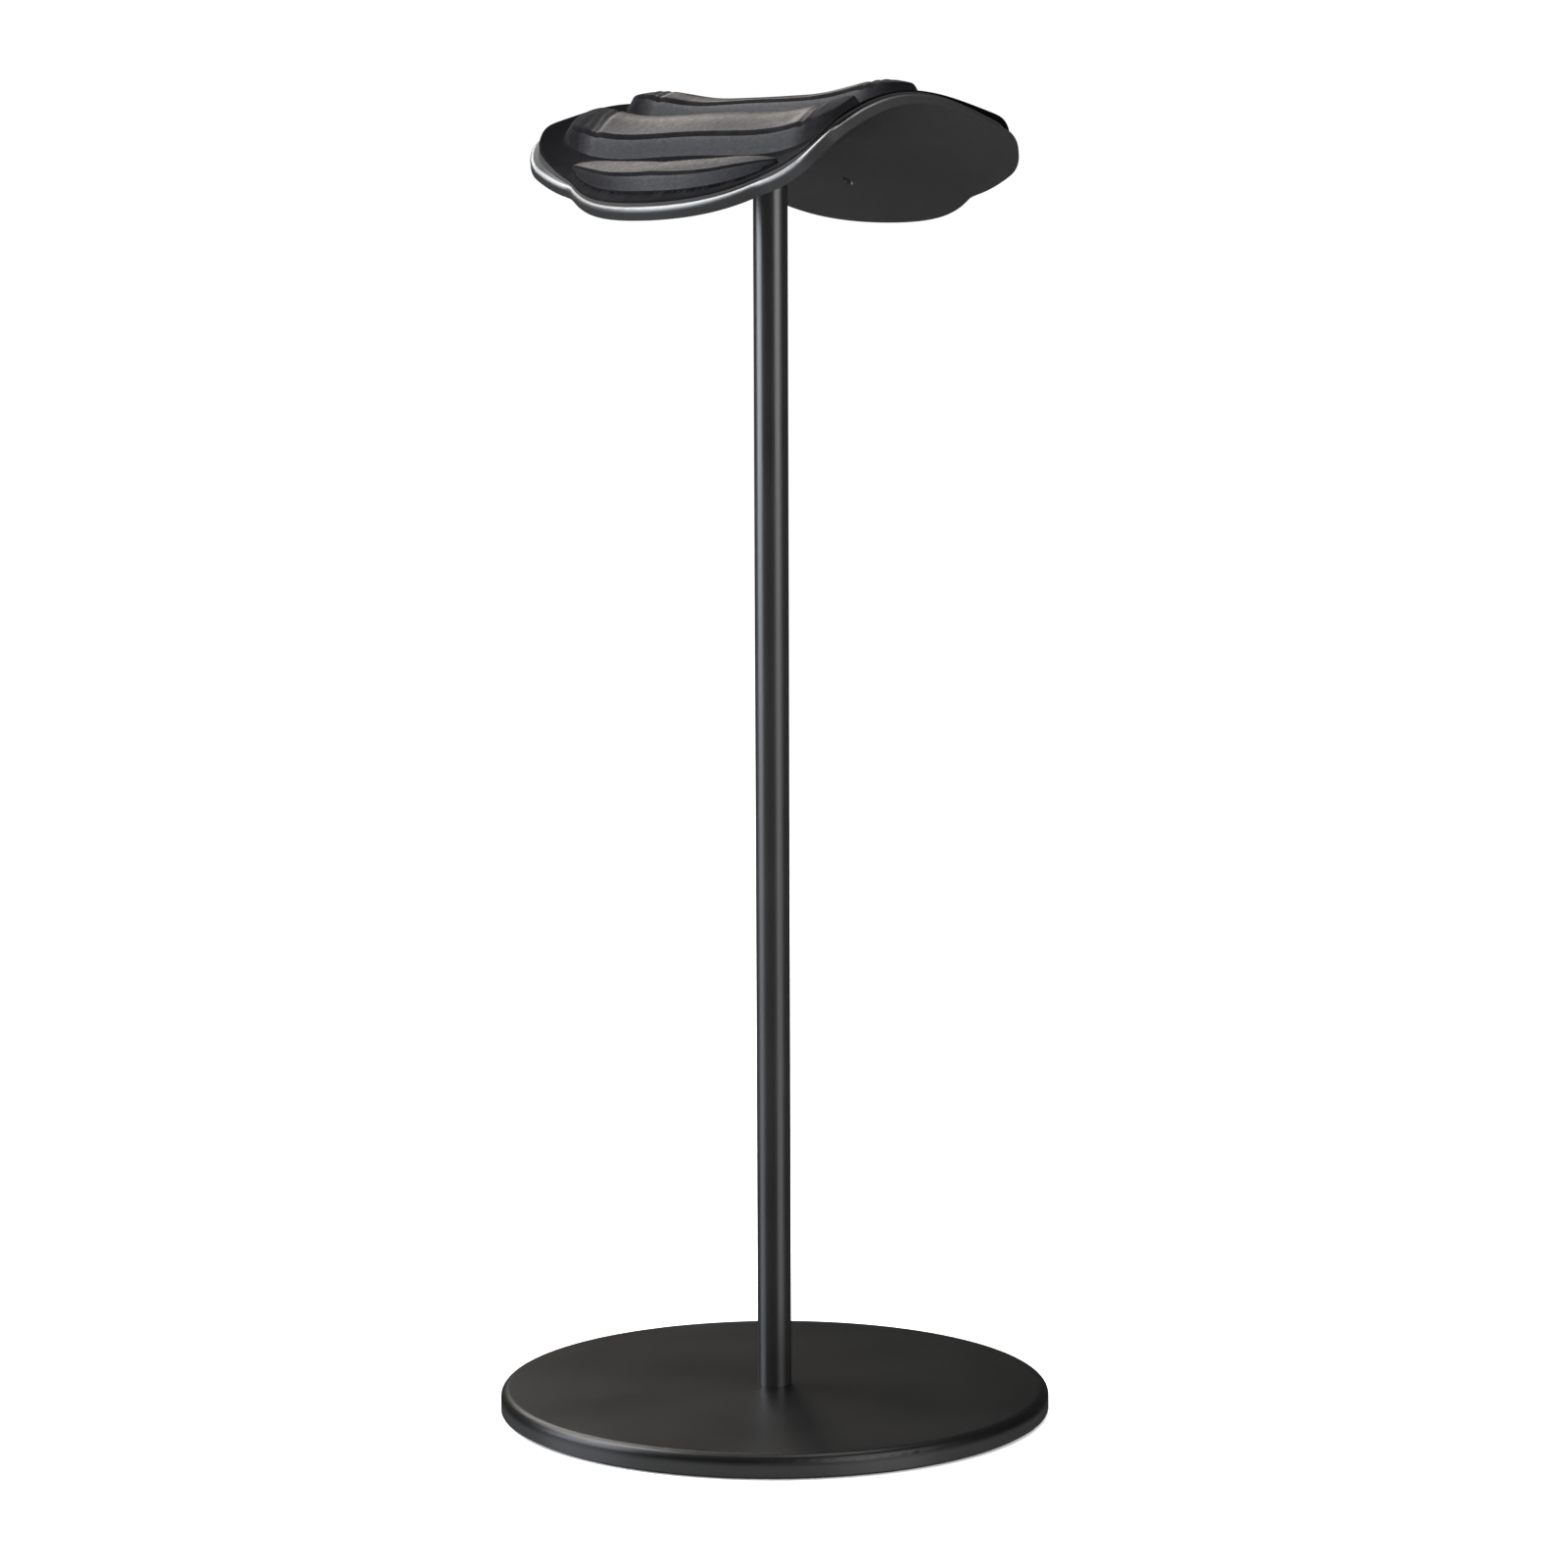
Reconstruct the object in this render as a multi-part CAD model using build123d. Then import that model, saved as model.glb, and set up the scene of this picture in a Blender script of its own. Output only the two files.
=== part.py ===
from build123d import *
import os

# Headphone stand: a round weighted base, a slim upright pole and a pressed
# saddle headrest that carries a ribbed, padded cover.
#
# Frame: millimetres, +Z up, origin at the middle of the underside of the foot.
# X runs along the pad's ribs, Y runs over the arch of the saddle, which is the
# way a headband lies across it.

# ------------------------------------------------------------ driving dimensions
BASE_DIAMETER = 130.0
BASE_THICKNESS = 5.0
BASE_EDGE_RADIUS = 2.0
FOOT_DIAMETER = 127.0
FOOT_THICKNESS = 0.7
FOOT_FILM_THICKNESS = 0.1
FOOT_HOLE_DIAMETER = 16.0

POLE_DIAMETER = 8.0
POLE_WALL = 1.0
POLE_SEAT_DEPTH = 1.0
POLE_SEAT_CLEARANCE = 0.05
INSERT_LENGTH = 16.0

THREAD_DIAMETER = 4.0
SCREW_HEAD_DIAMETER = 8.0
SCREW_HEAD_HEIGHT = 2.3
SCREW_HEAD_RECESS = 0.2
SCREW_HEX = 2.5
SCREW_HEX_DEPTH = 1.6
SCREW_LENGTH = 14.0

BOSS_DIAMETER = 10.0
BOSS_HEIGHT = 4.0
STUD_REACH = 13.0

# The saddle plate, seen from above: its tongues bulge past the straight lobes
# on the two sides where the headband hangs, and its two ends are waisted.
SADDLE_TOP = 301.2
SADDLE_THICKNESS = 3.0
SADDLE_EDGE_RADIUS = 1.0
TONGUE_TIP = 40.4
NOTCH_X = 33.5
NOTCH_Y = 33.1
LOBE_END_Y = 32.5
HALF_LENGTH = 53.2
WAIST = 3.6
CORNER_RADIUS = 6.0
NOTCH_RADIUS = 8.0
HANGING_HOLE_DIAMETER = 2.6
HANGING_HOLE_Y = 24.0

# The saddle's height falls along the arch and turns up at its ends.
ARCH_DROP = 18.9
ARCH_FLATTEN = 0.37
END_RISE = 9.2
END_FLATTEN = 0.48
CORNER_LIFT = 1.0

# The pad, built up in layers over the plate.
PAD_INSET = 1.0
PAD_LOBE_INSET = 2.6
PAD_FILM_THICKNESS = 0.15
PAD_BACKING_THICKNESS = 0.6
PAD_SKIN_THICKNESS = 0.6
RIB_INSET = 3.4
RIB_COUNT = 5
RIB_PITCH = 18.4
RIB_WIDTH = 12.6
RIB_HEIGHT = 5.0
RIB_HALF_LENGTH = 46.8
RIB_CORNER_RADIUS = 4.5
CRESCENT_HALF_LENGTH = 30.4
CRESCENT_END_RADIUS = 1.5
CRESCENT_EDGE_RADIUS = 0.7
RIB_EDGE_RADIUS = 1.4

# ------------------------------------------------------------- derived positions
BASE_BOTTOM = FOOT_THICKNESS + FOOT_FILM_THICKNESS
BASE_TOP = BASE_BOTTOM + BASE_THICKNESS
POLE_BOTTOM = BASE_TOP - POLE_SEAT_DEPTH
POLE_TOP = SADDLE_TOP - SADDLE_THICKNESS - BOSS_HEIGHT
POLE_BORE = POLE_DIAMETER - 2 * POLE_WALL
PAD_BACKING_BOTTOM = PAD_FILM_THICKNESS
PAD_SKIN_BOTTOM = PAD_BACKING_BOTTOM + PAD_BACKING_THICKNESS
PAD_SKIN_TOP = PAD_SKIN_BOTTOM + PAD_SKIN_THICKNESS
RIB_INDICES = range(-(RIB_COUNT // 2), RIB_COUNT // 2 + 1)

UPRIGHT = (Align.CENTER, Align.CENTER, Align.MIN)


def disc(diameter, bottom, thickness):
    """A flat round disc whose underside lies at the given height."""
    return Pos(0, 0, bottom) * Cylinder(diameter / 2, thickness, align=UPRIGHT)


# ------------------------------------------------------------------ base and foot
def base_plate():
    """Round steel plate with a seat for the pole and a countersunk hole below."""
    plate = disc(BASE_DIAMETER, BASE_BOTTOM, BASE_THICKNESS)
    rim = plate.edges().filter_by(GeomType.CIRCLE).sort_by(Axis.Z)[-1]
    plate = fillet(rim, BASE_EDGE_RADIUS)
    seat_diameter = POLE_DIAMETER + 2 * POLE_SEAT_CLEARANCE
    seat = disc(seat_diameter, POLE_BOTTOM, POLE_SEAT_DEPTH + 1)
    return plate - seat - base_screw_space()


def screw_head_cone(bottom):
    """The head of a countersunk screw driven upwards from below."""
    return Pos(0, 0, bottom) * Cone(
        SCREW_HEAD_DIAMETER / 2, THREAD_DIAMETER / 2, SCREW_HEAD_HEIGHT, align=UPRIGHT
    )


def base_screw_space():
    """Countersunk hole through the base: recess, cone and shank."""
    head_bottom = BASE_BOTTOM + SCREW_HEAD_RECESS
    recess = disc(SCREW_HEAD_DIAMETER, BASE_BOTTOM, SCREW_HEAD_RECESS)
    shank = disc(THREAD_DIAMETER, BASE_BOTTOM, BASE_THICKNESS)
    return recess + screw_head_cone(head_bottom) + shank


def base_screw():
    """Countersunk hex-socket screw that pulls the pole down into its seat."""
    head_bottom = BASE_BOTTOM + SCREW_HEAD_RECESS
    shank = disc(THREAD_DIAMETER, head_bottom, SCREW_LENGTH)
    socket = extrude(RegularPolygon(SCREW_HEX / 2, 6, major_radius=False), SCREW_HEX_DEPTH)
    return screw_head_cone(head_bottom) + shank - Pos(0, 0, head_bottom) * socket


def foot_sheet(diameter, bottom, thickness):
    """A round sheet under the base with an opening that gives a key access to the screw."""
    return disc(diameter, bottom, thickness) - disc(FOOT_HOLE_DIAMETER, bottom, thickness)


# --------------------------------------------------------------------------- pole
def pole_tube():
    """The upright steel tube, from its seat in the base to the boss under the saddle."""
    height = POLE_TOP - POLE_BOTTOM
    return disc(POLE_DIAMETER, POLE_BOTTOM, height) - disc(POLE_BORE, POLE_BOTTOM, height)


def threaded_insert(bottom):
    """A plug brazed into one end of the tube, tapped right through."""
    plug = disc(POLE_BORE, bottom, INSERT_LENGTH)
    return plug - disc(THREAD_DIAMETER, bottom, INSERT_LENGTH)


# ------------------------------------------------------------------ saddle surface
def saddle_height(x, y):
    """Height of the saddle plate's upper face above the foot."""
    along = (x / HALF_LENGTH) ** 2
    across = (y / TONGUE_TIP) ** 2
    arch = ARCH_DROP * ((1 + ARCH_FLATTEN) * across - ARCH_FLATTEN * across**2)
    ends = END_RISE * ((1 + END_FLATTEN) * along**2 - END_FLATTEN * along)
    return SADDLE_TOP - arch + ends + CORNER_LIFT * along * across


def saddle_surface():
    """The smooth upper face, a little larger than the plate on every side."""
    half_x = HALF_LENGTH + 5
    half_y = TONGUE_TIP + 5
    steps = 8
    grid = []
    for i in range(-steps, steps + 1):
        x = half_x * i / steps
        row = [(x, half_y * j / steps) for j in range(-steps, steps + 1)]
        grid.append([Vector(x, y, saddle_height(x, y)) for x, y in row])
    return Face.make_surface_from_array_of_points(grid, tol=0.002, min_deg=4, max_deg=6)


def saddle_outline(inset, lobe_inset, corner_radius, notch_radius):
    """The plan outline, drawn inwards from the plate's edge by the given insets."""
    end_x = HALF_LENGTH - inset
    tip_y = TONGUE_TIP - inset
    notch_y = NOTCH_Y - inset
    lobe_y = LOBE_END_Y - lobe_inset
    waist_x = end_x - WAIST
    notch_x = NOTCH_X
    tongues = [
        ThreePointArc((-notch_x, side * notch_y), (0, side * tip_y), (notch_x, side * notch_y))
        for side in (1, -1)
    ]
    lobes = [
        Line((side_x * notch_x, side_y * notch_y), (side_x * end_x, side_y * lobe_y))
        for side_x in (1, -1)
        for side_y in (1, -1)
    ]
    ends = [
        ThreePointArc((side * end_x, lobe_y), (side * waist_x, 0), (side * end_x, -lobe_y))
        for side in (1, -1)
    ]
    outline = make_face(tongues + lobes + ends)
    corners = outline.vertices().filter_by(lambda v: abs(v.X) > notch_x + 1)
    outline = fillet(corners, corner_radius)
    notches = outline.vertices().filter_by(lambda v: abs(abs(v.X) - notch_x) < 0.01)
    return fillet(notches, notch_radius)


SURFACE = saddle_surface()


def prism(outline):
    """The outline carried straight up through the whole height of the headrest."""
    return extrude(Pos(0, 0, SADDLE_TOP - 2 * ARCH_DROP) * outline, 4 * ARCH_DROP)


def layer(bottom, top, outline):
    """A sheet lying over the plate between two heights above its upper face."""
    sheet = extrude(Pos(0, 0, bottom) * SURFACE, top - bottom, dir=(0, 0, 1))
    return sheet & prism(outline)


# ----------------------------------------------------------------------- headrest
def headrest_plate():
    """Sheet-steel saddle, cut to its outline and pressed, with a hanging hole."""
    outline = saddle_outline(0, 0, CORNER_RADIUS, NOTCH_RADIUS)
    blank = SURFACE & prism(outline)
    plate = Solid.thicken(blank.face(), -SADDLE_THICKNESS)
    upper_face = plate.faces().sort_by(SortBy.AREA)[-2:].sort_by(Axis.Z)[-1]
    plate = fillet(upper_face.outer_wire().edges(), SADDLE_EDGE_RADIUS)
    hole = Pos(0, HANGING_HOLE_Y, SADDLE_TOP - 2 * ARCH_DROP) * Cylinder(
        HANGING_HOLE_DIAMETER / 2, 4 * ARCH_DROP
    )
    return plate - hole


def head_boss(plate):
    """Turned boss welded under the plate; its top follows the saddle."""
    blank = disc(BOSS_DIAMETER, POLE_TOP, BOSS_HEIGHT + SADDLE_THICKNESS / 2)
    seated = (blank - plate).solids().sort_by(Axis.Z)[0]
    return seated - disc(THREAD_DIAMETER, POLE_TOP, BOSS_HEIGHT + SADDLE_THICKNESS)


def head_stud(plate):
    """Threaded stud held in the boss, which screws down into the pole."""
    blank = disc(THREAD_DIAMETER, POLE_TOP - STUD_REACH, STUD_REACH + BOSS_HEIGHT + 1)
    return (blank - plate).solids().sort_by(Axis.Z)[0]


# ---------------------------------------------------------------------------- pad
def pad_outline():
    """The plan outline of the pad's flat border."""
    return saddle_outline(PAD_INSET, PAD_LOBE_INSET, CORNER_RADIUS, NOTCH_RADIUS)


def rib_outline(index):
    """Plan of one rib: a long bar, or the shallow crescent on each tongue."""
    if abs(index) < RIB_COUNT // 2:
        bar = RectangleRounded(2 * RIB_HALF_LENGTH, RIB_WIDTH, RIB_CORNER_RADIUS)
        return Pos(0, index * RIB_PITCH) * bar
    side = 1 if index > 0 else -1
    back_y = index * RIB_PITCH - side * RIB_WIDTH / 2
    tip_y = side * (TONGUE_TIP - RIB_INSET)
    left = (-CRESCENT_HALF_LENGTH, back_y)
    right = (CRESCENT_HALF_LENGTH, back_y)
    crescent = make_face([Line(left, right), ThreePointArc(right, (0, tip_y), left)])
    return fillet(crescent.vertices(), CRESCENT_END_RADIUS)


def rib_core(index, bottom=PAD_SKIN_BOTTOM):
    """Foam strip that fills one rib, from the given height up to the skin."""
    plan = offset(rib_outline(index), -PAD_SKIN_THICKNESS)
    top = PAD_SKIN_TOP + RIB_HEIGHT - PAD_SKIN_THICKNESS
    return layer(bottom, top, plan)


def rib_shell(index):
    """Outside of one rib of the cover, before its foam is taken out."""
    block = layer(PAD_SKIN_BOTTOM, PAD_SKIN_TOP + RIB_HEIGHT, rib_outline(index)).solid()
    crown = block.faces().filter_by(GeomType.BSPLINE).sort_by(Axis.Z)[-1]
    is_crescent = abs(index) == RIB_COUNT // 2
    radius = CRESCENT_EDGE_RADIUS if is_crescent else RIB_EDGE_RADIUS
    return fillet(crown.outer_wire().edges(), radius)


def pad_cover():
    """Moulded leathercloth skin with its flat border and raised, hollow ribs."""
    border = layer(PAD_SKIN_BOTTOM, PAD_SKIN_TOP, pad_outline())
    ribs = [rib_shell(index) for index in RIB_INDICES]
    hollows = [rib_core(index, bottom=0) for index in RIB_INDICES]
    return (border + ribs - hollows).solid()


# ------------------------------------------------------------------------- export
plate_part = headrest_plate()

parts = {
    "foot_pad": foot_sheet(FOOT_DIAMETER, 0, FOOT_THICKNESS),
    "foot_adhesive": foot_sheet(FOOT_DIAMETER, FOOT_THICKNESS, FOOT_FILM_THICKNESS),
    "base_plate": base_plate(),
    "base_screw": base_screw(),
    "pole_tube": pole_tube(),
    "lower_insert": threaded_insert(POLE_BOTTOM),
    "upper_insert": threaded_insert(POLE_TOP - INSERT_LENGTH),
    "head_stud": head_stud(plate_part),
    "head_boss": head_boss(plate_part),
    "headrest_plate": plate_part,
    "pad_adhesive": layer(0, PAD_BACKING_BOTTOM, pad_outline()),
    "pad_backing": layer(PAD_BACKING_BOTTOM, PAD_SKIN_BOTTOM, pad_outline()),
    "pad_cover": pad_cover(),
}
for number, index in enumerate(RIB_INDICES, start=1):
    parts[f"rib_foam_{number}"] = rib_core(index)

os.makedirs("parts", exist_ok=True)
for name, solid in parts.items():
    export_step(solid, f"parts/{name}.step")
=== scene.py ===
import math

import bpy
import numpy as np
from mathutils import Matrix, Vector, noise
from mathutils.geometry import delaunay_2d_cdt


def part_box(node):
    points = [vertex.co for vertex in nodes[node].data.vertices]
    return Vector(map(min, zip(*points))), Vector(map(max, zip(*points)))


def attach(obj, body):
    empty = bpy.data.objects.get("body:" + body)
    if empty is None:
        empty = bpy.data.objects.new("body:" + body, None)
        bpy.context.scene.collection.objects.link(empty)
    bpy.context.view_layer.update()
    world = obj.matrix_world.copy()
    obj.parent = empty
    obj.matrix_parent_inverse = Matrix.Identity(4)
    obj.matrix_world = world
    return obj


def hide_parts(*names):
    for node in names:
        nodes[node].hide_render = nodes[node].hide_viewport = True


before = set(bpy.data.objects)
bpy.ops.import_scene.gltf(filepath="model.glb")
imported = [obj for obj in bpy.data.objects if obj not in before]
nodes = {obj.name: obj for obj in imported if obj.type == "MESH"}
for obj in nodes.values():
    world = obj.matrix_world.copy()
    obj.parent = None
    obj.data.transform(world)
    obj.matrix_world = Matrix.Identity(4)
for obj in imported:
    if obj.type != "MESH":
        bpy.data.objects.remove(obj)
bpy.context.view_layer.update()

MM = 0.001

# ------------------------------------------------------------------ the saddle's shape
# The steel plate's sizes and height formula, the same as in the design.
SADDLE_TOP = 301.2 * MM
TONGUE_TIP = 40.4 * MM
NOTCH_X = 33.5 * MM
NOTCH_Y = 33.1 * MM
LOBE_END_Y = 32.5 * MM
HALF_LENGTH = 53.2 * MM
WAIST = 3.6 * MM
CORNER_RADIUS = 6.0 * MM
ARCH_DROP = 18.9 * MM
ARCH_FLATTEN = 0.37
END_RISE = 9.2 * MM
END_FLATTEN = 0.48
CORNER_LIFT = 1.0 * MM
# For drawing its plan: points along each part of it, and how its notches are eased.
END_POINTS = 120
TONGUE_POINTS = 160
LOBE_POINTS = 20
NOTCH_EASING = 2.2 * MM
EASING_PASSES = 3

# ----------------------------------------------------------------------------- the pad
PAD_INSET = 1.0 * MM
PAD_LOBE_INSET = 2.6 * MM
# Heights over the plate: the cover's underside, and the face of its flat border.
COVER_UNDERSIDE = 0.77 * MM
BORDER_LEVEL = 1.35 * MM
# The border curls down over its last stretch by a share of its thickness.
BORDER_EDGE = 0.45 * MM
BORDER_CURL = 0.8
# Raised by less than this, the cover keeps the border's dull finish. The same blacker, duller finish
# is painted as a dark shade line in a band between these depths in from a rib's outline, where its
# wall bends into its crown.
FOOT_LEVEL = 0.3 * MM
RIDGE_SHADE_BAND = (1.6 * MM, 2.45 * MM)
# The three long ribs. Their noses rise from a share of the full height over a run, and each
# rib swells by a share of its height around a place towards its ends.
RIB_PITCH = 18.4 * MM
RIB_HALF_WIDTH = 6.9 * MM
RIB_HALF_LENGTHS = (48.8 * MM, 48.2 * MM, 48.8 * MM)
RIB_HEIGHT = 5.15 * MM
RIB_NOSES = (13.0 * MM, 13.0 * MM, 13.0 * MM)
RIB_NOSE_SHARES = (0.24, 0.16, 0.24)
RIB_END_RADIUS = 6.4 * MM
RIB_EASING = 0.8 * MM
RIB_SWELLS = (0.06, 0.36, 0.06)
RISE_BULGE = 2.2
RISE_SHARPNESS = 0.75
SWELL_PLACE = 34.0 * MM
SWELL_RUN = 14.0 * MM
# The two crescents: height as a share of a long rib's, and a plan between an arc in front
# and a straight line at the back.
CRESCENT_SHARE = 0.74
CRESCENT_BACK = 28.9 * MM
CRESCENT_TIP_DEPTH = 0.5 * MM
CRESCENT_EASING = 0.6 * MM
CRESCENT_POINTS = 160
CRESCENT_INSET = 3.2 * MM
CRESCENT_TIP = 36.8 * MM
CRESCENT_TAPER = 16.0 * MM
CRESCENT_TIP_ROOM = 0.12
# The mesh: rings at these depths in from the border, and points filled in between.
BORDER_DEPTHS = (0.0, 0.12 * MM, 0.28 * MM, 0.55 * MM)
FILL_STEP = 0.8 * MM
FILL_CLEARANCE = 0.35 * MM
OUTLINE_STEP = 0.55 * MM
MERGE_DISTANCE = 1e-9

# The cloth simulation of the stuffed cover: how much larger it is drawn, its mesh, and how
# its points' movement is capped and averaged.
SIM_SCALE = 8.0
SIM_FRAMES = 20
SIM_PRESSURE = 4.0
SIM_STEP = 1.5 * MM
SIM_CLEARANCE = 0.7 * MM
SIM_EVERY = 2
SIM_RIB_DEPTHS = (0.0, 1.0 * MM, 2.2 * MM)
SIM_BLEND = 1.8 * MM
SIM_NEAREST = 40
STUFFING_CAP = 0.7 * MM

# Folds near each rib's ends: distance from the nose, depth, half width and slant.
CREASES = (
    (12.5 * MM, 0.52 * MM, 0.95 * MM, 0.30),
    (10.0 * MM, 0.40 * MM, 0.80 * MM, 0.42),
    (7.4 * MM, 0.26 * MM, 0.80 * MM, 0.15),
)
# Smooth noise, by its scales along and across a rib and its seed, shifts the folds, varies
# their depth, and gathers the cover finely over the last stretch.
FOLD_NOISE = (110.0, 110.0, 3.1)
FOLD_WANDER = 0.5 * MM
FOLD_DEPTH_SHARES = (0.75, 0.5)
GATHER_NOISE = (420.0, 90.0, 7.7)
GATHER_RUN = 18.0 * MM
GATHER_DEPTH = 0.07 * MM
# Distances from the middle between which the cover turns from its usual sheen to dull.
NOSE_DULL = (35.0 * MM, 41.0 * MM)

# Share of a rib's full height at depths in from its outline.
RIB_PROFILE = (
    (0.0, 0.0),
    (0.15 * MM, 0.02),
    (0.40 * MM, 0.13),
    (0.80 * MM, 0.36),
    (1.25 * MM, 0.62),
    (1.65 * MM, 0.81),
    (2.00 * MM, 0.905),
    (2.40 * MM, 0.950),
    (3.00 * MM, 0.972),
    (7.00 * MM, 1.0),
)


def saddle_height(x, y):
    """Height of the plate's upper face."""
    along = (x / HALF_LENGTH) ** 2
    across = (y / TONGUE_TIP) ** 2
    arch = ARCH_DROP * ((1 + ARCH_FLATTEN) * across - ARCH_FLATTEN * across**2)
    ends = END_RISE * ((1 + END_FLATTEN) * along**2 - END_FLATTEN * along)
    return SADDLE_TOP - arch + ends + CORNER_LIFT * along * across


def arc_points(start, middle, end, count):
    """Points of the arc through three plan points, without its last point."""
    (ax, ay), (bx, by), (cx, cy) = start, middle, end
    a2, b2, c2 = ax**2 + ay**2, bx**2 + by**2, cx**2 + cy**2
    scale = 2 * (ax * (by - cy) + bx * (cy - ay) + cx * (ay - by))
    centre_x = (a2 * (by - cy) + b2 * (cy - ay) + c2 * (ay - by)) / scale
    centre_y = (a2 * (cx - bx) + b2 * (ax - cx) + c2 * (bx - ax)) / scale
    first = math.atan2(ay - centre_y, ax - centre_x)
    last = math.atan2(cy - centre_y, cx - centre_x)
    turn = (last - first + math.pi) % (2 * math.pi) - math.pi
    radius = math.hypot(ax - centre_x, ay - centre_y)
    angles = first + turn * np.arange(count) / count
    return np.stack([centre_x + radius * np.cos(angles), centre_y + radius * np.sin(angles)], -1)


def rounded(points, radius, step):
    """A closed outline with its corners eased over about the given radius, evenly spaced."""
    closed = np.vstack([points, points[:1]])
    run = np.concatenate([[0], np.cumsum(np.linalg.norm(np.diff(closed, axis=0), axis=1))])
    count = int(round(run[-1] / step / 4)) * 4
    even = np.linspace(0, run[-1], count, endpoint=False)
    outline = np.stack([np.interp(even, run, closed[:, k]) for k in (0, 1)], -1)
    reach = max(1, int(radius / step * 0.5))
    for _ in range(EASING_PASSES):
        kernel = np.ones(2 * reach + 1) / (2 * reach + 1)
        wrapped = np.vstack([outline[-reach:], outline, outline[:reach]])
        outline = np.stack([np.convolve(wrapped[:, k], kernel, "valid") for k in (0, 1)], -1)
    return outline


def corner(centre, start_angle, radius, count=24):
    """Quarter of a circle, anticlockwise from the given angle."""
    angles = start_angle + math.pi / 2 * np.arange(count) / count
    return np.stack([centre[0] + radius * np.cos(angles), centre[1] + radius * np.sin(angles)], -1)


def saddle_outline(inset, lobe_inset, corner_radius):
    """Closed plan outline, anticlockwise, drawn inwards from the plate's edge."""
    end_x = HALF_LENGTH - inset
    waist_x = end_x - WAIST
    tip_y = TONGUE_TIP - inset
    notch_y = NOTCH_Y - inset
    lobe_y = LOBE_END_Y - lobe_inset
    quarter_x = end_x - corner_radius
    quarter_y = lobe_y - corner_radius
    end = arc_points((end_x, -quarter_y), (waist_x, 0), (end_x, quarter_y), END_POINTS)
    tongue = arc_points((NOTCH_X, notch_y), (0, tip_y), (-NOTCH_X, notch_y), TONGUE_POINTS)
    lobe_share = np.linspace(0, 1, LOBE_POINTS, endpoint=False)[:, None]
    lobe = np.array([quarter_x, lobe_y]) * (1 - lobe_share) + np.array([NOTCH_X, notch_y]) * lobe_share
    half = np.vstack([end, corner((quarter_x, quarter_y), 0, corner_radius), lobe, tongue])
    # The other end and side, turned half round, close the outline.
    far_lobe = lobe[::-1] * (-1, 1)
    far_corner = corner((-quarter_x, quarter_y), math.pi / 2, corner_radius)
    upper = np.vstack([half, far_lobe, far_corner])
    lower = -upper
    return rounded(np.vstack([upper, lower]), NOTCH_EASING, OUTLINE_STEP)


def plan_normals(outline):
    """Outward unit normals of an anticlockwise plan outline."""
    along = np.roll(outline, -1, 0) - np.roll(outline, 1, 0)
    normal = np.stack([along[:, 1], -along[:, 0]], -1)
    return normal / np.linalg.norm(normal, axis=1, keepdims=True)


def distance_to(outline, points, at_once=2000):
    """Distance from each plan point to the outline's nearest point."""
    result = np.empty(len(points))
    for first in range(0, len(points), at_once):
        block = points[first : first + at_once]
        gaps = np.linalg.norm(block[:, None] - outline[None], axis=-1)
        result[first : first + at_once] = gaps.min(1)
    return result


def inside(outline, points):
    """Whether each plan point lies inside the closed outline."""
    x, y = points[:, 0], points[:, 1]
    found = np.zeros(len(points), bool)
    for (x0, y0), (x1, y1) in zip(outline, np.roll(outline, -1, 0)):
        crosses = (y0 > y) != (y1 > y)
        reach = x0 + (y - y0) * (x1 - x0) / (y1 - y0 if y1 != y0 else 1e-12)
        found ^= crosses & (x < reach)
    return found


def make_object(name, vertices, faces, smooth=True):
    """A mesh object in the scene from arrays of points and faces."""
    mesh = bpy.data.meshes.new(name)
    mesh.from_pydata([tuple(v) for v in vertices], [], faces)
    mesh.validate()
    mesh.polygons.foreach_set("use_smooth", [smooth] * len(mesh.polygons))
    obj = bpy.data.objects.new(name, mesh)
    bpy.context.scene.collection.objects.link(obj)
    return obj


def plan_mesh(rings, step, free):
    """Triangulates a pad plan: every ring's points are kept, and grid points fill the rest."""
    outer = rings[0]
    low, high = outer.min(0), outer.max(0)
    xs = np.arange(low[0], high[0], step)
    ys = np.arange(low[1], high[1], step)
    grid = np.stack(np.meshgrid(xs, ys), -1).reshape(-1, 2)
    grid = grid[inside(outer, grid)]
    ring_points = np.vstack(rings)
    grid = grid[distance_to(ring_points, grid) > free]
    edges, first = [], 0
    for ring in rings:
        count = len(ring)
        edges += [(first + k, first + (k + 1) % count) for k in range(count)]
        first += count
    points = np.vstack([ring_points, grid])
    made = delaunay_2d_cdt([Vector(p) for p in points], edges, [], 1, MERGE_DISTANCE)
    return np.array([tuple(p) for p in made[0]]), [tuple(face) for face in made[2]]


def rib_outline(y, hx):
    """Outline of one straight rib of the given half length about the line y."""
    hy, r = RIB_HALF_WIDTH, RIB_END_RADIUS
    points = np.vstack([
        corner((hx - r, y + hy - r), 0, r),
        corner((r - hx, y + hy - r), math.pi / 2, r),
        corner((r - hx, y - hy + r), math.pi, r),
        corner((hx - r, y - hy + r), 1.5 * math.pi, r),
    ])
    return rounded(points, RIB_EASING, OUTLINE_STEP)


def crescent_outline(side):
    """Outline of the crescent rib on one side (+1 or -1)."""
    tip_y = TONGUE_TIP - CRESCENT_INSET
    front_y = CRESCENT_BACK + CRESCENT_TIP_DEPTH
    front = arc_points((CRESCENT_TIP, front_y), (0, tip_y), (-CRESCENT_TIP, front_y), CRESCENT_POINTS)
    back_x = np.linspace(-CRESCENT_TIP, CRESCENT_TIP, CRESCENT_POINTS)
    back = np.stack([back_x, np.full(CRESCENT_POINTS, CRESCENT_BACK)], -1)
    return side * rounded(np.vstack([front, back]), CRESCENT_EASING, OUTLINE_STEP)


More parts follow.
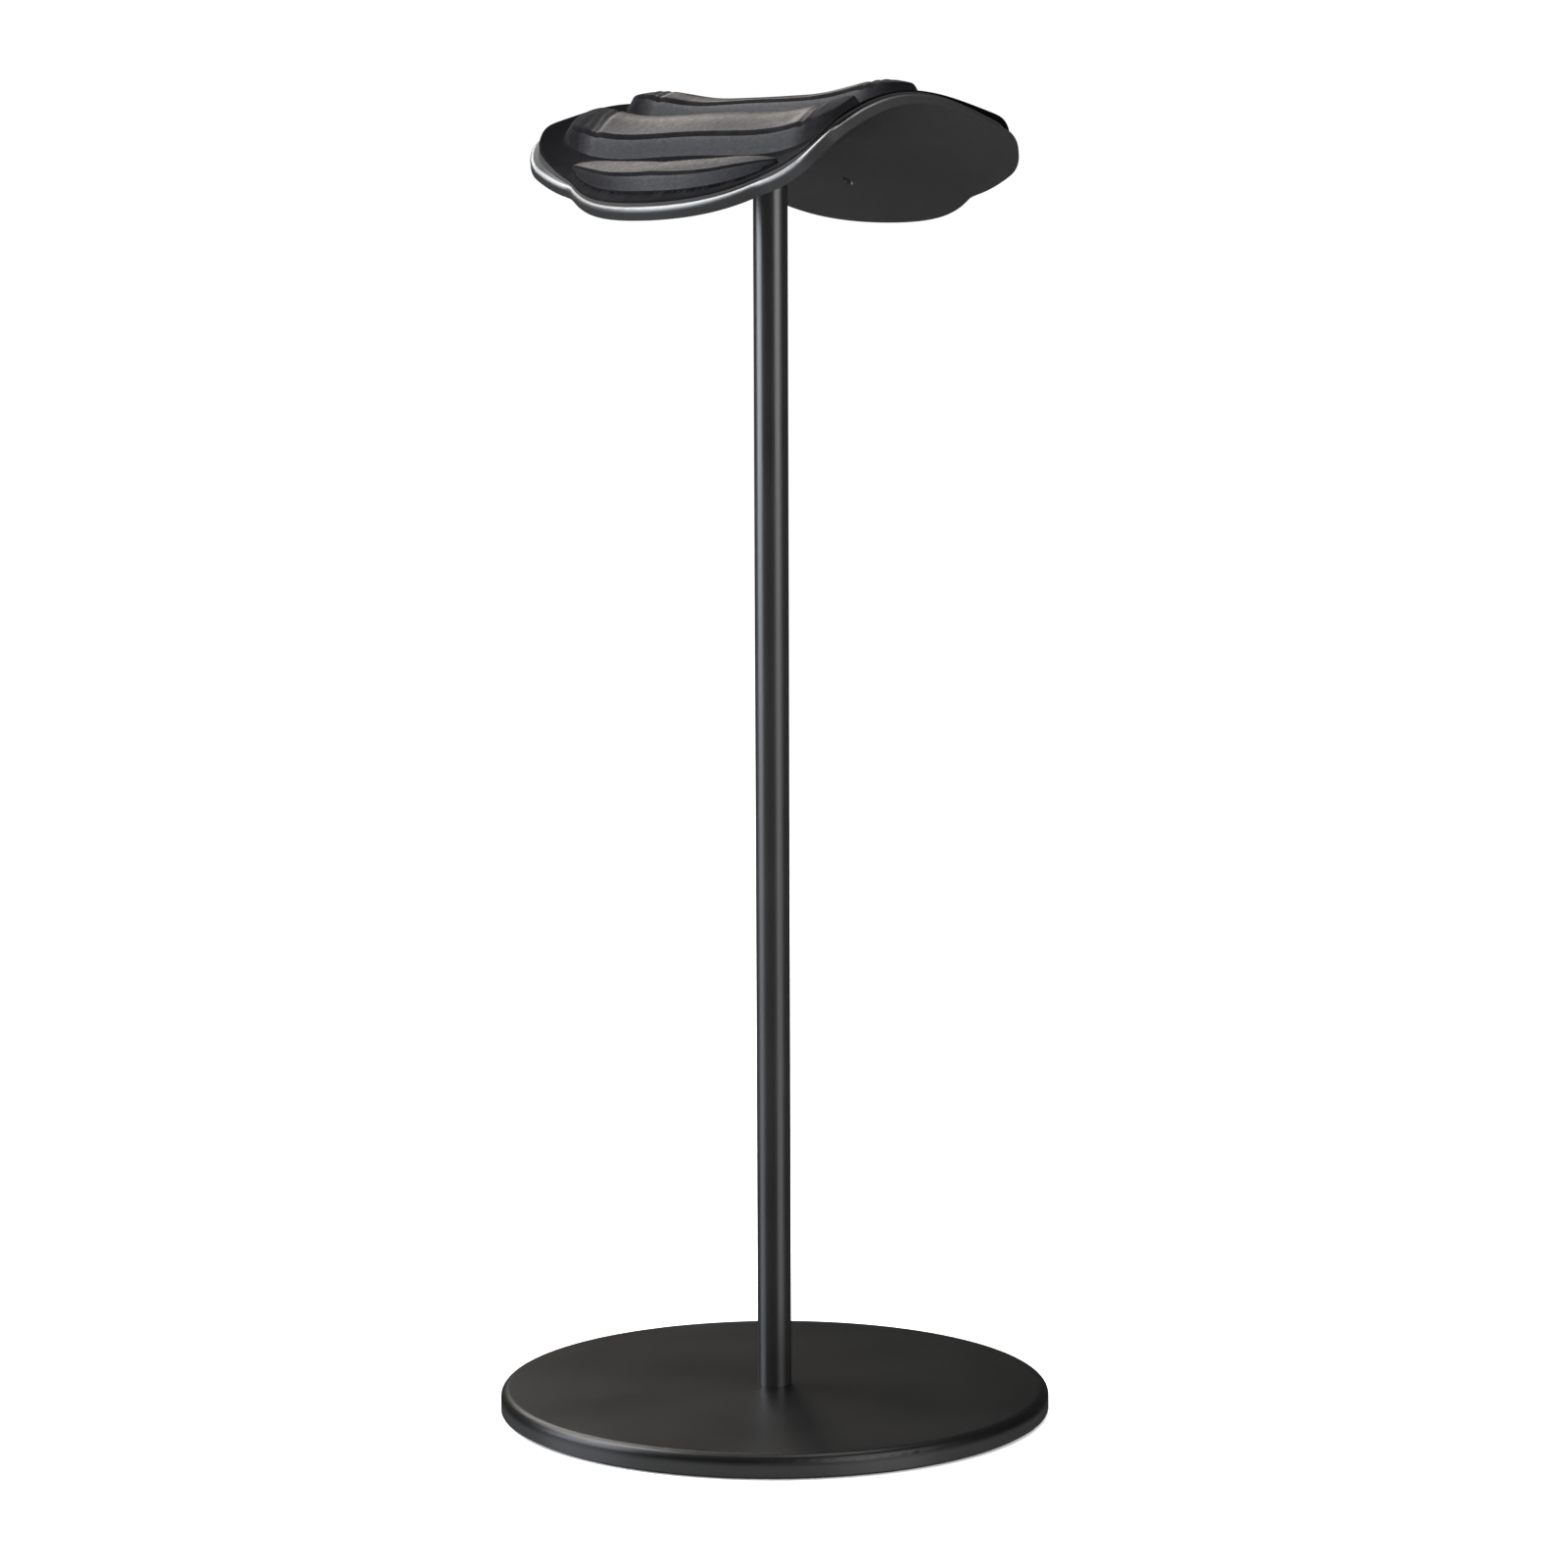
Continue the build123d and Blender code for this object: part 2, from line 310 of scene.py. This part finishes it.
def rise(x, half_length, run, least):
    """How far a rib has risen at x: the least share at its nose, 1 where it runs level."""
    share = np.clip((half_length - np.abs(x)) / run, 0, 1)
    return least + (1 - least) * (1 - (1 - share) ** RISE_BULGE) ** RISE_SHARPNESS


def noise_at(points, scale_x, scale_y, seed):
    """Smooth noise from about -1 to 1 at arrays of plan points."""
    return np.array([noise.noise(Vector((x * scale_x, y * scale_y, seed))) for x, y in points])


def creases(spots, row_y, reach):
    """Depth of the folds gathered where a rib bends down to its ends."""
    along, across = np.abs(spots[:, 0]), spots[:, 1] - row_y
    turned = np.sign(spots[:, 0])
    wander = noise_at(spots, *FOLD_NOISE)
    even, uneven = FOLD_DEPTH_SHARES
    depth = np.zeros(len(spots))
    for back, deep, wide, slant in CREASES:
        gap = along - (reach - back) + slant * turned * across + FOLD_WANDER * wander
        depth += deep * np.exp(-((gap / wide) ** 2)) * (even + uneven * wander)
    near_end = np.clip((along - (reach - GATHER_RUN)) / (0.5 * GATHER_RUN), 0, 1)
    depth += GATHER_DEPTH * near_end * noise_at(spots, *GATHER_NOISE)
    return depth


# ----------------------------------------------------------------- the pad's cover mesh
depths, shares = (np.array(column) for column in zip(*RIB_PROFILE))
pad_outline = saddle_outline(PAD_INSET, PAD_LOBE_INSET, CORNER_RADIUS)
rib_rows = [
    (row * RIB_PITCH, *sizes)
    for row, *sizes in zip((-1, 0, 1), RIB_HALF_LENGTHS, RIB_NOSES, RIB_NOSE_SHARES, RIB_SWELLS)
]
rib_lines = [rib_outline(row_y, reach) for row_y, reach, *rest in rib_rows]
crescents = [crescent_outline(side) for side in (-1, 1)]


def crescent_room(x):
    """How much of the rib profile's depth a crescent has room for at x."""
    return np.interp(np.abs(x), (0, CRESCENT_TIP), (1.0, CRESCENT_TIP_ROOM))


def pad_rings(border_depths, rib_depths, every):
    """Rings of plan points along the border, the ribs and the crescents, drawn inwards."""
    normals = plan_normals(pad_outline)
    rings = [(pad_outline - normals * depth)[::every] for depth in border_depths]
    for line in rib_lines:
        normals = plan_normals(line)
        rings += [(line - normals * depth)[::every] for depth in rib_depths]
    for line in crescents:
        # Towards the tips the rings close up, because the crescent is narrow there.
        normals = plan_normals(line)
        room = crescent_room(line[:, 0])
        rings += [(line - normals * (depth * room)[:, None])[::every] for depth in rib_depths]
    return rings


def pad_relief(plan):
    """Height over the plate at plan points, and which of them lie on padded ribs."""
    lift = np.full(len(plan), BORDER_LEVEL)
    curl = np.clip(distance_to(pad_outline, plan) / BORDER_EDGE, 0, 1)
    lift -= (BORDER_LEVEL - COVER_UNDERSIDE) * BORDER_CURL * (1 - np.sqrt(1 - (1 - curl) ** 2))
    padded = np.zeros(len(plan), bool)
    for (row_y, reach, nose, nose_share, swell), line in zip(rib_rows, rib_lines):
        within = inside(line, plan)
        padded |= within
        spots = plan[within]
        gap = distance_to(line, spots)
        level = rise(spots[:, 0], reach, nose, nose_share)
        level *= 1 + swell * np.exp(-(((np.abs(spots[:, 0]) - SWELL_PLACE) / SWELL_RUN) ** 2))
        relief = RIB_HEIGHT * level * np.interp(gap, depths, shares)
        lift[within] += relief - creases(spots, row_y, reach) * np.clip(relief / RIB_HEIGHT, 0, 1)
    for line in crescents:
        within = inside(line, plan)
        padded |= within
        spots = plan[within]
        gap = distance_to(line, spots) / crescent_room(spots[:, 0])
        level = rise(spots[:, 0], CRESCENT_TIP, CRESCENT_TAPER, CRESCENT_TIP_ROOM)
        lift[within] += CRESCENT_SHARE * RIB_HEIGHT * level * np.interp(gap, depths, shares)
    return lift, padded


def ridge_shade(plan):
    """Which plan points lie on the band of painted shade where a rib's walls bend into its crown."""
    shade_band = np.zeros(len(plan), bool)
    rooms = [np.ones_like] * len(rib_lines) + [crescent_room] * len(crescents)
    for line, room in zip(rib_lines + crescents, rooms):
        within = inside(line, plan)
        gap = distance_to(line, plan[within]) / room(plan[within][:, 0])
        shade_band[within] = (gap > RIDGE_SHADE_BAND[0]) & (gap < RIDGE_SHADE_BAND[1])
    return shade_band


def stuffed():
    """Cloth simulation of the cover under the foam's pressure.

    It runs on a coarser copy, drawn larger and held on the border and in the valleys, and gives
    that copy's plan points with how far each moved.
    """
    rings = pad_rings((0.0,), SIM_RIB_DEPTHS, SIM_EVERY)
    plan, triangles = plan_mesh(rings, SIM_STEP, SIM_CLEARANCE)
    lift, padded = pad_relief(plan)
    start = np.column_stack([plan, saddle_height(plan[:, 0], plan[:, 1]) + lift])
    skin = make_object("stuffing_cloth", start * SIM_SCALE, triangles)
    held = skin.vertex_groups.new(name="held")
    held.add([int(k) for k in np.flatnonzero(~padded)], 1.0, "REPLACE")
    cloth = skin.modifiers.new("cloth", "CLOTH")
    settings = cloth.settings
    settings.quality = 6
    settings.mass = 0.3
    settings.vertex_group_mass = "held"
    settings.use_pressure = True
    settings.uniform_pressure_force = SIM_PRESSURE
    settings.tension_stiffness = 12.0
    settings.compression_stiffness = 12.0
    settings.shear_stiffness = 5.0
    settings.bending_stiffness = 0.4
    settings.effector_weights.gravity = 0.0
    cloth.collision_settings.use_collision = False
    scene = bpy.context.scene
    cloth.point_cache.frame_start = 1
    cloth.point_cache.frame_end = SIM_FRAMES
    for moment in range(1, SIM_FRAMES + 1):
        scene.frame_set(moment)
    evaluated = skin.evaluated_get(bpy.context.evaluated_depsgraph_get())
    ended = np.empty(len(start) * 3)
    evaluated.data.vertices.foreach_get("co", ended)
    moved = ended.reshape(-1, 3) / SIM_SCALE - start
    bpy.data.objects.remove(skin)
    scene.frame_set(1)
    moved[~padded] = 0
    return plan, moved


def carried(plan, source, moved, at_once=1000):
    """Movement at plan points, averaged smoothly over the simulated points around each."""
    result = np.zeros((len(plan), 3))
    for first in range(0, len(plan), at_once):
        block = plan[first : first + at_once]
        gaps = ((block[:, None] - source[None]) ** 2).sum(-1)
        nearest = np.argpartition(gaps, SIM_NEAREST, axis=1)[:, :SIM_NEAREST]
        weight = np.exp(-np.take_along_axis(gaps, nearest, 1) / (2 * SIM_BLEND**2))
        weight /= weight.sum(1, keepdims=True)
        result[first : first + at_once] = (moved[nearest] * weight[..., None]).sum(1)
    return result


plan, triangles = plan_mesh(pad_rings(BORDER_DEPTHS, depths[:-1], 1), FILL_STEP, FILL_CLEARANCE)
lift, padded = pad_relief(plan)
pad_shift = np.zeros((len(plan), 3))
source, moved = stuffed()
distance = np.linalg.norm(moved, axis=1, keepdims=True)
capped = moved * np.minimum(1, STUFFING_CAP / np.maximum(distance, 1e-9))
pad_shift = carried(plan, source, capped)
pad_shift[~padded] = 0

height = saddle_height(plan[:, 0], plan[:, 1])
top = np.column_stack([plan, height + lift]) + pad_shift
bottom = np.column_stack([plan, height + COVER_UNDERSIDE])
count, rim = len(plan), len(pad_outline)
faces = [tuple(face) for face in triangles]
faces += [tuple(reversed([count + k for k in face])) for face in triangles]
faces += [(k, count + k, count + (k + 1) % rim, (k + 1) % rim) for k in range(rim)]
cover = make_object("pad_leathercloth", np.vstack([top, bottom]), faces)


# --------------------------------------------------------------------- the materials
def material(name, colour, roughness, metallic=0.0, specular=0.5):
    """A new node material and its main shader."""
    made = bpy.data.materials.new(name)
    made.use_nodes = True
    shader = made.node_tree.nodes["Principled BSDF"]
    shader.inputs["Base Color"].default_value = (*colour, 1)
    shader.inputs["Roughness"].default_value = roughness
    shader.inputs["Metallic"].default_value = metallic
    shader.inputs["Specular IOR Level"].default_value = specular
    return made, shader


def add(made, kind, **values):
    """A new node in a material, with its properties and inputs set by name."""
    node = made.node_tree.nodes.new(kind)
    for key, value in values.items():
        if hasattr(node, key):
            setattr(node, key, value)
        else:
            node.inputs[key.replace("_", " ")].default_value = value
    return node


def join(made, source, output, target, entry):
    """Links one node's output to another's input."""
    made.node_tree.links.new(source.outputs[output], target.inputs[entry])


def place(made):
    """The object's own coordinates, in metres."""
    return add(made, "ShaderNodeTexCoord")


# Noise textures mostly stay between these two values.
NOISE_LOW = 0.3
NOISE_HIGH = 0.7


def spread(made, source, output, low, high):
    """Maps a noise texture's value onto a range."""
    node = add(made, "ShaderNodeMapRange", To_Min=low, To_Max=high)
    node.inputs["From Min"].default_value = NOISE_LOW
    node.inputs["From Max"].default_value = NOISE_HIGH
    join(made, source, output, node, "Value")
    return node


def tint(made, source, output, shader, dark, light):
    """Lets the base colour vary between two colours."""
    ramp = add(made, "ShaderNodeValToRGB")
    ramp.color_ramp.elements[0].position = NOISE_LOW
    ramp.color_ramp.elements[1].position = NOISE_HIGH
    ramp.color_ramp.elements[0].color = (*dark, 1)
    ramp.color_ramp.elements[1].color = (*light, 1)
    join(made, source, output, ramp, "Fac")
    join(made, ramp, "Color", shader, "Base Color")
    return ramp


def bumps(made, shader, layers):
    """Stacks bump layers: each is a source node, its output, strength and depth."""
    last = None
    for source, output, strength, depth in layers:
        bump = add(made, "ShaderNodeBump", Strength=strength, Distance=depth)
        join(made, source, output, bump, "Height")
        if last is not None:
            join(made, last, "Normal", bump, "Normal")
        last = bump
    join(made, last, "Normal", shader, "Normal")


def texture(made, coords, kind, **values):
    """A texture node fed with the object's coordinates."""
    node = add(made, kind, **values)
    join(made, coords, "Object", node, "Vector")
    return node


def powder_coat(name, roughness, grain, specular, dark, light):
    """Black powder coating: a fine even texture with faint cloudiness."""
    made, shader = material(name, light, roughness, 0.0, specular)
    coords = place(made)
    cloud = texture(made, coords, "ShaderNodeTexNoise", Scale=28.0, Detail=3.0)
    fine = texture(made, coords, "ShaderNodeTexNoise", Scale=2600.0, Detail=2.0)
    orange = texture(made, coords, "ShaderNodeTexNoise", Scale=750.0, Detail=1.0)
    tint(made, cloud, "Fac", shader, dark, light)
    rough = spread(made, cloud, "Fac", roughness - 0.03, roughness + 0.04)
    join(made, rough, "Result", shader, "Roughness")
    bumps(made, shader, ((orange, "Fac", grain, 0.05 * MM), (fine, "Fac", grain, 0.02 * MM)))
    return made


def painted_floor_reflection(made, top, bottom, dark, light):
    """Paints a reflection of the floor into a coating's colour: it turns paler down the wall, from the
    level `top` to the level `bottom`.
    """
    tree = made.node_tree
    shader = tree.nodes["Principled BSDF"]
    coords = place(made)
    level = add(made, "ShaderNodeSeparateXYZ")
    join(made, coords, "Object", level, "Vector")
    share = add(made, "ShaderNodeMapRange", From_Min=top, From_Max=bottom, To_Min=0.0, To_Max=1.0)
    join(made, level, "Z", share, "Value")
    # The paler colours of the painted floor reflection.
    reflection_ramp = add(made, "ShaderNodeValToRGB")
    reflection_ramp.color_ramp.elements[0].color = (*dark, 1)
    reflection_ramp.color_ramp.elements[1].color = (*light, 1)
    cloud = texture(made, coords, "ShaderNodeTexNoise", Scale=40.0, Detail=3.0)
    join(made, cloud, "Fac", reflection_ramp, "Fac")
    blend = add(made, "ShaderNodeMixRGB")
    before = shader.inputs["Base Color"].links[0].from_socket
    join(made, share, "Result", blend, "Fac")
    tree.links.new(before, blend.inputs["Color1"])
    join(made, reflection_ramp, "Color", blend, "Color2")
    join(made, blend, "Color", shader, "Base Color")


def leathercloth():
    """Black leathercloth: fine pebble grain and a faint dusty sheen, duller at the ribs' ends."""
    made, shader = material("leathercloth", (0.003, 0.003, 0.004), 0.40, 0.0, 0.09)
    shader.inputs["Sheen Weight"].default_value = 0.01
    shader.inputs["Sheen Roughness"].default_value = 0.4
    coords = place(made)
    pebble = texture(made, coords, "ShaderNodeTexVoronoi", Scale=1500.0)
    pebble.feature = "SMOOTH_F1"
    grain = texture(made, coords, "ShaderNodeTexNoise", Scale=900.0, Detail=4.0)
    cloud = texture(made, coords, "ShaderNodeTexNoise", Scale=60.0, Detail=4.0)
    tint(made, cloud, "Fac", shader, (0.0012, 0.0012, 0.0022), (0.0035, 0.0033, 0.0048))
    rough = spread(made, grain, "Fac", 0.37, 0.5)
    along = add(made, "ShaderNodeSeparateXYZ")
    join(made, coords, "Object", along, "Vector")
    reach = add(made, "ShaderNodeMath", operation="ABSOLUTE")
    join(made, along, "X", reach, "Value")
    dull = add(made, "ShaderNodeMapRange", To_Min=0.0, To_Max=0.45)
    dull.inputs["From Min"].default_value = NOSE_DULL[0]
    dull.inputs["From Max"].default_value = NOSE_DULL[1]
    join(made, reach, "Value", dull, "Value")
    total = add(made, "ShaderNodeMath", operation="ADD")
    made.node_tree.links.new(rough.outputs["Result"], total.inputs[0])
    made.node_tree.links.new(dull.outputs["Result"], total.inputs[1])
    join(made, total, "Value", shader, "Roughness")
    bumps(made, shader, (
        (cloud, "Fac", 0.25, 0.3 * MM),
        (grain, "Fac", 0.35, 0.10 * MM),
        (pebble, "Distance", 0.35, 0.08 * MM),
    ))
    return made


def flat_border():
    """The pressed-flat border of the cover: blacker, duller, with a speckled grain."""
    made, shader = material("cover_border", (0.002, 0.002, 0.003), 0.80, 0.0, 0.05)
    coords = place(made)
    speckle = texture(made, coords, "ShaderNodeTexVoronoi", Scale=1700.0)
    cloud = texture(made, coords, "ShaderNodeTexNoise", Scale=240.0, Detail=5.0)
    tint(made, cloud, "Fac", shader, (0.0006, 0.0006, 0.0012), (0.0016, 0.0016, 0.0026))
    rough = spread(made, cloud, "Fac", 0.72, 0.88)
    join(made, rough, "Result", shader, "Roughness")
    bumps(made, shader, ((cloud, "Fac", 0.3, 0.1 * MM), (speckle, "Distance", 0.4, 0.08 * MM)))
    return made


def plated_steel():
    """Zinc-plated steel of the screws, studs and threaded plugs."""
    made, shader = material("zinc_plate", (0.55, 0.56, 0.58), 0.32, 1.0)
    coords = place(made)
    cloud = texture(made, coords, "ShaderNodeTexNoise", Scale=180.0, Detail=5.0)
    tint(made, cloud, "Fac", shader, (0.46, 0.47, 0.50), (0.62, 0.62, 0.63))
    rough = spread(made, cloud, "Fac", 0.26, 0.42)
    join(made, rough, "Result", shader, "Roughness")
    bumps(made, shader, ((cloud, "Fac", 0.2, 0.03 * MM),))
    return made


def foot_rubber():
    """Foam rubber sheet under the base, with small open pores."""
    made, shader = material("foot_rubber", (0.02, 0.02, 0.02), 0.9, 0.0, 0.3)
    coords = place(made)
    pores = texture(made, coords, "ShaderNodeTexVoronoi", Scale=1100.0)
    cloud = texture(made, coords, "ShaderNodeTexNoise", Scale=90.0, Detail=4.0)
    tint(made, cloud, "Fac", shader, (0.014, 0.014, 0.014), (0.030, 0.030, 0.031))
    rough = spread(made, cloud, "Fac", 0.82, 0.96)
    join(made, rough, "Result", shader, "Roughness")
    bumps(made, shader, ((pores, "Distance", 0.6, 0.15 * MM), (cloud, "Fac", 0.3, 0.1 * MM)))
    return made


def board(name, dark, light, roughness):
    """Dull fibre board or adhesive film, seen at cut edges and through the hanging hole."""
    made, shader = material(name, light, roughness, 0.0, 0.3)
    coords = place(made)
    fibre = texture(made, coords, "ShaderNodeTexNoise", Scale=1400.0, Detail=5.0)
    tint(made, fibre, "Fac", shader, dark, light)
    rough = spread(made, fibre, "Fac", roughness - 0.08, roughness + 0.08)
    join(made, rough, "Result", shader, "Roughness")
    bumps(made, shader, ((fibre, "Fac", 0.4, 0.05 * MM),))
    return made


# Each coating's roughness, grain and specular level, then its darkest and lightest colour.
base_finish = powder_coat(
    "base_powder", 0.33, 0.12, 0.28, (0.0018, 0.0018, 0.0019), (0.0030, 0.0030, 0.0031)
)
# Painted floor reflection: the base's colour turns paler between these levels, where its rounded edge
# meets its wall.
REFLECTION_TOP = 4.2 * MM
REFLECTION_PALE = 3.0 * MM
painted_floor_reflection(base_finish, REFLECTION_TOP, REFLECTION_PALE, (0.014, 0.014, 0.014), (0.020, 0.020, 0.020))
pole_finish = powder_coat(
    "pole_satin", 0.30, 0.05, 0.6, (0.0075, 0.0075, 0.0078), (0.0105, 0.0105, 0.0108)
)
saddle_finish = powder_coat(
    "saddle_satin", 0.36, 0.06, 0.8, (0.0110, 0.0110, 0.0113), (0.0150, 0.0150, 0.0153)
)
leather = leathercloth()
border_finish = flat_border()
steel = plated_steel()
rubber = foot_rubber()
# The adhesive film is coloured near black as painted shade, so the hanging hole reads dark.
hole_shade_film = board("adhesive_film", (0.002, 0.002, 0.002), (0.004, 0.004, 0.004), 0.7)
fibreboard = board("fibreboard", (0.012, 0.011, 0.011), (0.022, 0.021, 0.020), 0.8)


def dress(obj, made):
    """Gives an object one material in every slot."""
    obj.data.materials.clear()
    obj.data.materials.append(made)
    obj.data.polygons.foreach_set("material_index", [0] * len(obj.data.polygons))


finishes = {
    "base_plate": base_finish,
    "pole_tube": pole_finish,
    "head_boss": pole_finish,
    "headrest_plate": saddle_finish,
    "foot_pad": rubber,
    "foot_adhesive": hole_shade_film,
    "pad_adhesive": hole_shade_film,
    "base_screw": steel,
    "lower_insert": steel,
    "upper_insert": steel,
    "head_stud": steel,
    "pad_backing": fibreboard,
}
for name, made in finishes.items():
    for slot in nodes[name].material_slots:
        slot.material = made

# The border and the valleys take the cover's second, duller finish, and the bands along the ribs take
# it as a painted shade line along each ridge.
BORDER_SLOT = 1
dress(cover, leather)
cover.data.materials.append(border_finish)
raised = np.concatenate([lift > BORDER_LEVEL + FOOT_LEVEL, np.zeros(count, bool)])
ridge_shaded = np.concatenate([ridge_shade(plan), np.zeros(count, bool)])
for polygon in cover.data.polygons:
    around = list(polygon.vertices)
    if ridge_shaded[around].all() or not raised[around].all():
        polygon.material_index = BORDER_SLOT
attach(cover, "root")
foam_nodes = [f"rib_foam_{k}" for k in range(1, 6)]
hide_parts("pad_cover", *foam_nodes)


# --------------------------------------------------------------- camera, floor and light
# Angles are in radians, and the lens and the sensor in millimetres, as Blender takes them.
CAMERA_TURN = math.radians(49.0)
CAMERA_TILT = 0.1146
CAMERA_ROLL = -0.0034
CAMERA_SIDE = 2.70 * MM
CAMERA_DISTANCE = 1027.2 * MM
CAMERA_HEIGHT = 267.4 * MM
CAMERA_LENS = 101.42
CAMERA_SENSOR = 36.0

right = Vector((math.cos(CAMERA_TURN), math.sin(CAMERA_TURN), 0))
away = Vector((-math.sin(CAMERA_TURN), math.cos(CAMERA_TURN), 0))
up = Vector((0, 0, 1))

camera_data = bpy.data.cameras.new("camera")
camera = bpy.data.objects.new("camera", camera_data)
bpy.context.scene.collection.objects.link(camera)
bpy.context.scene.camera = camera
camera_data.lens = CAMERA_LENS
camera_data.sensor_width = CAMERA_SENSOR
camera_data.clip_start = 0.05
camera_data.clip_end = 200.0
forward = math.cos(CAMERA_TILT) * away - math.sin(CAMERA_TILT) * up
frame_up = right.cross(forward)
image_right = math.cos(CAMERA_ROLL) * right + math.sin(CAMERA_ROLL) * frame_up
image_up = image_right.cross(forward)
turned = Matrix((image_right, image_up, -forward)).transposed().to_4x4()
place_at = right * CAMERA_SIDE - away * CAMERA_DISTANCE + up * CAMERA_HEIGHT
camera.matrix_world = Matrix.Translation(place_at) @ turned

FLOOR_HALF = 40.0
FLOOR_GLOW = 0.14
floor_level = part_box("foot_pad")[0][2]
floor_corners = [
    (x * FLOOR_HALF, y * FLOOR_HALF, floor_level) for x, y in ((-1, -1), (1, -1), (1, 1), (-1, 1))
]
floor = make_object("floor", floor_corners, [(0, 1, 2, 3)], False)
floor_finish, floor_shader = material("studio_floor", (0.93, 0.93, 0.93), 0.85, 0.0, 0.1)
floor_coords = place(floor_finish)
floor_cloud = texture(floor_finish, floor_coords, "ShaderNodeTexNoise", Scale=3.0)
tint(floor_finish, floor_cloud, "Fac", floor_shader, (0.92, 0.92, 0.92), (0.94, 0.94, 0.94))
dress(floor, floor_finish)
floor_shader.inputs["Emission Color"].default_value = (1, 1, 1, 1)
floor_shader.inputs["Emission Strength"].default_value = FLOOR_GLOW
# Glossy rays don't see the floor, and the two low lights shine through it.
floor.visible_glossy = False
floor.visible_shadow = False


def softbox(name, side, behind, high, aim_high, width, tall, power, colour):
    """An area light placed to the side of, behind and above the stand as the camera sees it."""
    data = bpy.data.lights.new(name, "AREA")
    data.shape = "RECTANGLE"
    data.size = width
    data.size_y = tall
    data.energy = power
    data.color = colour
    light = bpy.data.objects.new(name, data)
    bpy.context.scene.collection.objects.link(light)
    light.location = right * side + away * behind + up * high
    to_stand = up * aim_high - light.location
    light.rotation_mode = "QUATERNION"
    light.rotation_quaternion = to_stand.to_track_quat("-Z", "Y")
    return light


WARM = (1.0, 0.93, 0.86)
COOL = (0.88, 0.92, 1.0)
NEUTRAL = (1.0, 1.0, 1.0)
# Place to the side, behind and above, level aimed at, width, height, power and colour.
softbox("back_left", -0.50, 1.25, 0.98, 0.28, 0.75, 0.62, 7.0, WARM)
softbox("left_side", -1.40, -0.12, 0.62, 0.25, 1.00, 1.10, 30.0, COOL)
softbox("left_low", -1.40, -0.12, -0.22, 0.05, 1.00, 0.60, 3.1, COOL)
softbox("upper_left", -0.85, 0.30, 1.15, 0.25, 0.85, 0.80, 27.0, NEUTRAL)
softbox("overhead", 0.20, 0.10, 1.55, 0.25, 0.70, 0.70, 9.0, NEUTRAL)
softbox("right_strip", 0.95, -0.95, 0.62, 0.30, 0.90, 0.95, 12.5, NEUTRAL)
softbox("right_low", 0.95, -0.95, -0.15, 0.05, 0.90, 0.60, 3.2, NEUTRAL)

# The backdrop is dimmer for glossy rays.
MIRRORED_BACKDROP = 0.055
world = bpy.data.worlds.new("studio")
bpy.context.scene.world = world
world.use_nodes = True
backdrop = world.node_tree.nodes["Background"]
backdrop.inputs["Color"].default_value = (1, 1, 1, 1)
ray = world.node_tree.nodes.new("ShaderNodeLightPath")
dim = world.node_tree.nodes.new("ShaderNodeMapRange")
dim.inputs["To Min"].default_value = 1.0
dim.inputs["To Max"].default_value = MIRRORED_BACKDROP
world.node_tree.links.new(ray.outputs["Is Glossy Ray"], dim.inputs["Value"])
world.node_tree.links.new(dim.outputs["Result"], backdrop.inputs["Strength"])
bpy.context.scene.view_settings.view_transform = "Standard"
